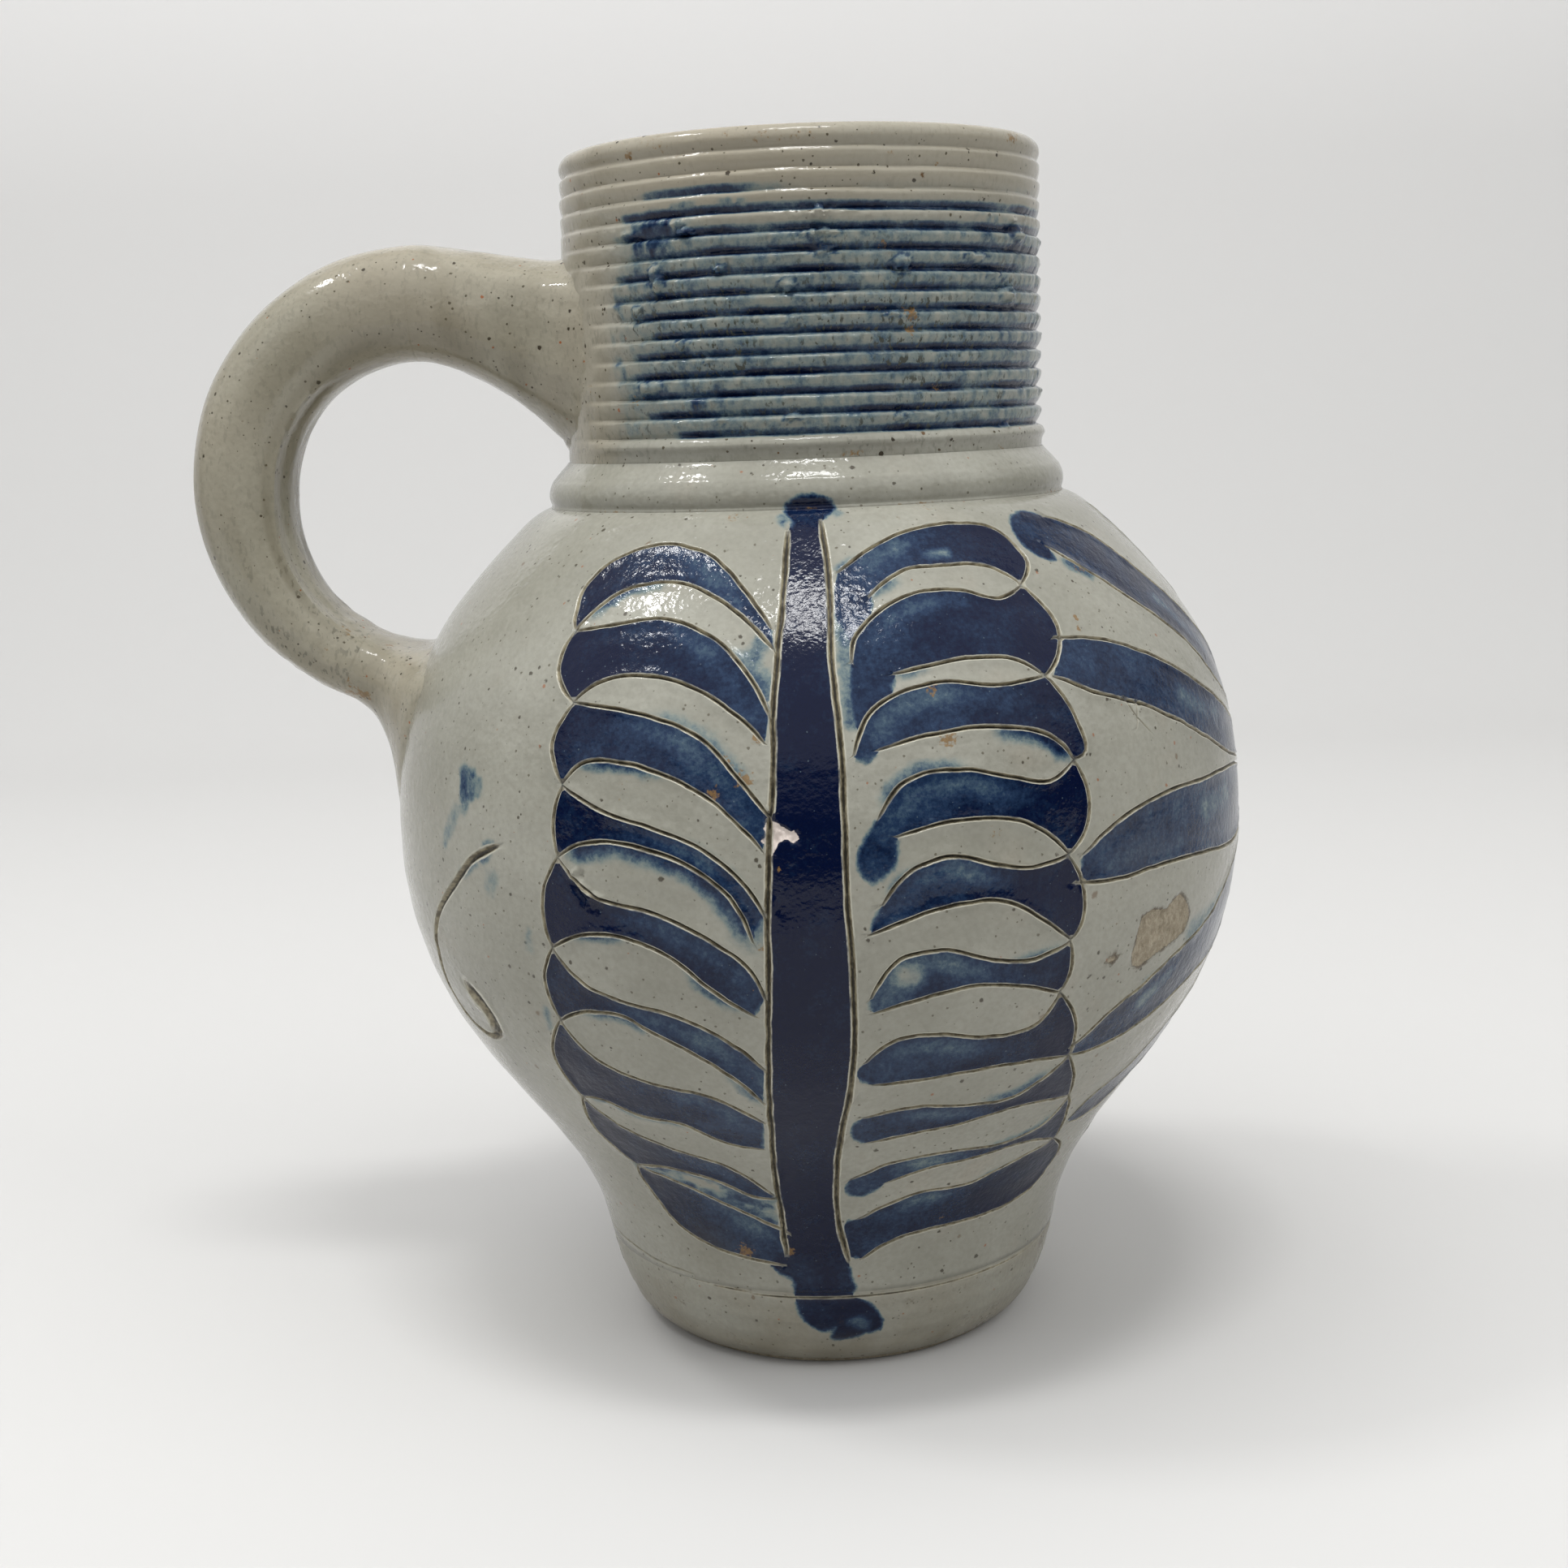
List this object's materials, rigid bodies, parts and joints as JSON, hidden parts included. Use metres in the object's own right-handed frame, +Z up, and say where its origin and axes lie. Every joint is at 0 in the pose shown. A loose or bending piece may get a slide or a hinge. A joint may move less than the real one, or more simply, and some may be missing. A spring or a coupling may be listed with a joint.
{
  "type": "jug",
  "caption": "Bulbous stoneware jug with a ribbed cylindrical neck, a banded neck foot, a short turned foot and one loop handle, with incised and blue painted leaf sprays.",
  "frame": {"origin": "centre of the flat face under the foot, on the axis that the pot was turned on", "axes": "+Z up the pot's axis to the rim, -X towards the handle, -Y towards the viewer of the leaf spray"},
  "size_m": [0.1813, 0.1484, 0.205],
  "materials": {
    "foot_clay": "thin satin salt glaze over grey-buff stoneware",
    "belly_glaze": "glossy grey salt glaze with incised lines and cobalt blue painting",
    "cordon_glaze": "glossy warm grey salt glaze",
    "neck_glaze": "glossy grey salt glaze with cobalt blue in the grooves",
    "handle_glaze": "glossy warm grey salt glaze with brown specks",
    "lute_glaze": "glossy warm grey salt glaze over pressed clay"
  },
  "bodies": {
    "root": {"foot": "foot_clay", "belly": "belly_glaze", "neck_cordon": "cordon_glaze", "neck": "neck_glaze", "handle": "handle_glaze", "handle_upper_lute": "lute_glaze", "handle_lower_lute": "lute_glaze"}
  },
  "joints": []
}
